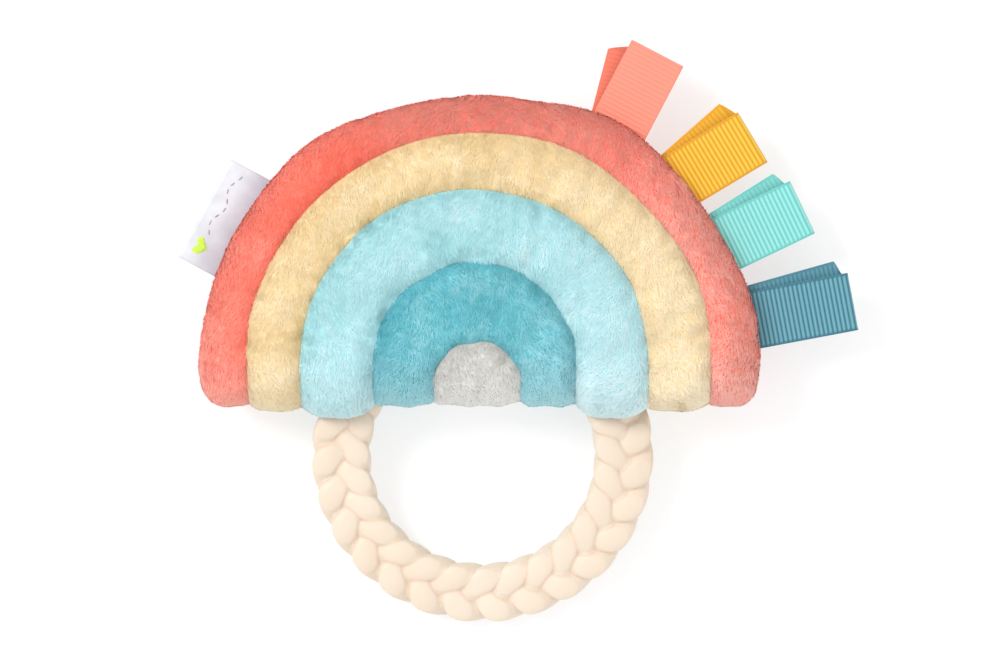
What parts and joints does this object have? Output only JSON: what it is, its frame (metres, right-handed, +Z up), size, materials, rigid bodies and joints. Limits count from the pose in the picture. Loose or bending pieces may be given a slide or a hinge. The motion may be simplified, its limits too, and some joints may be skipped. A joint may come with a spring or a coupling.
{
  "type": "teething ring toy",
  "caption": "Half-round stuffed plush rainbow rattle with a braided silicone teething ring through its bottom seam and folded ribbon loops round its edge.",
  "frame": {"origin": "on the surface the toy lies on, at the middle of the back panels, below the centre of the arches", "axes": "+X across the rainbow towards the ribbon loops, +Y from the ring to the top of the arch, +Z up out of the front panels"},
  "size_m": [0.1492, 0.1285, 0.028],
  "materials": {
    "coral_plush": "soft pile",
    "cream_plush": "soft pile",
    "aqua_plush": "soft pile",
    "teal_plush": "soft pile",
    "grey_plush": "soft pile",
    "polyester_fibre": "loose fibre",
    "capsule_plastic": "satin",
    "bead_plastic": "gloss",
    "ivory_silicone": "matte",
    "coral_grosgrain": "ribbed weave",
    "yellow_grosgrain": "ribbed weave",
    "aqua_grosgrain": "ribbed weave",
    "blue_grosgrain": "ribbed weave",
    "white_satin": "satin"
  },
  "bodies": {
    "plush": {"front_coral_band": "coral_plush", "front_cream_band": "cream_plush", "front_aqua_band": "aqua_plush", "front_teal_band": "teal_plush", "front_grey_arch": "grey_plush", "back_coral_band": "coral_plush", "back_cream_band": "cream_plush", "back_aqua_band": "aqua_plush", "back_teal_band": "teal_plush", "back_grey_arch": "grey_plush", "fibre_filling": "polyester_fibre", "rattle_lower_shell": "capsule_plastic", "rattle_upper_shell": "capsule_plastic"},
    "ring": {"silicone_ring": "ivory_silicone"},
    "coral_ribbon": {"coral_ribbon_loop": "coral_grosgrain"},
    "yellow_ribbon": {"yellow_ribbon_loop": "yellow_grosgrain"},
    "aqua_ribbon": {"aqua_ribbon_loop": "aqua_grosgrain"},
    "blue_ribbon": {"blue_ribbon_loop": "blue_grosgrain"},
    "label": {"side_label_loop": "white_satin"},
    "bead_1": {"rattle_bead_1": "bead_plastic"},
    "bead_2": {"rattle_bead_2": "bead_plastic"},
    "bead_3": {"rattle_bead_3": "bead_plastic"},
    "bead_4": {"rattle_bead_4": "bead_plastic"},
    "bead_5": {"rattle_bead_5": "bead_plastic"}
  },
  "joints": [
    {"name": "ring_turn", "type": "hinge", "parent": "plush", "child": "ring", "pos_m": [0.00065, -0.02005, 0.0106], "axis": [0, -0.1908, 0.9816], "continuous": true},
    {"name": "coral_ribbon_flex", "type": "hinge", "parent": "plush", "child": "coral_ribbon", "pos_m": [0.03049, 0.0519, 0.014], "axis": [-0.8712, 0.4909, 0], "range_deg": [-60, 40], "stiffness_Nm_per_rad": 0.0005},
    {"name": "yellow_ribbon_flex", "type": "hinge", "parent": "plush", "child": "yellow_ribbon", "pos_m": [0.0446, 0.04102, 0.014], "axis": [-0.6959, 0.7181, 0], "range_deg": [-60, 40], "stiffness_Nm_per_rad": 0.0005},
    {"name": "aqua_ribbon_flex", "type": "hinge", "parent": "plush", "child": "aqua_ribbon", "pos_m": [0.05483, 0.02695, 0.014], "axis": [-0.4695, 0.8829, 0], "range_deg": [-60, 40], "stiffness_Nm_per_rad": 0.0005},
    {"name": "blue_ribbon_flex", "type": "hinge", "parent": "plush", "child": "blue_ribbon", "pos_m": [0.0609, 0.00997, 0.014], "axis": [-0.1959, 0.9806, 0], "range_deg": [-60, 40], "stiffness_Nm_per_rad": 0.0005},
    {"name": "label_flex", "type": "hinge", "parent": "plush", "child": "label", "pos_m": [-0.05284, 0.03043, 0.014], "axis": [-0.5255, -0.8508, 0], "range_deg": [-60, 40], "stiffness_Nm_per_rad": 0.0005},
    {"name": "bead_1_roll", "type": "slide", "parent": "plush", "child": "bead_1", "axis": [1, 0, 0], "range_m": [-0.0064, 0.0034]},
    {"name": "bead_2_roll", "type": "slide", "parent": "plush", "child": "bead_2", "axis": [1, 0, 0], "range_m": [-0.0037, 0.0137]},
    {"name": "bead_3_roll", "type": "slide", "parent": "plush", "child": "bead_3", "axis": [1, 0, 0], "range_m": [-0.01565, 0.00365]},
    {"name": "bead_4_roll", "type": "slide", "parent": "plush", "child": "bead_4", "axis": [1, 0, 0], "range_m": [-0.0072, 0.0102]},
    {"name": "bead_5_roll", "type": "slide", "parent": "plush", "child": "bead_5", "axis": [1, 0, 0], "range_m": [-0.0024, 0.0074]}
  ]
}
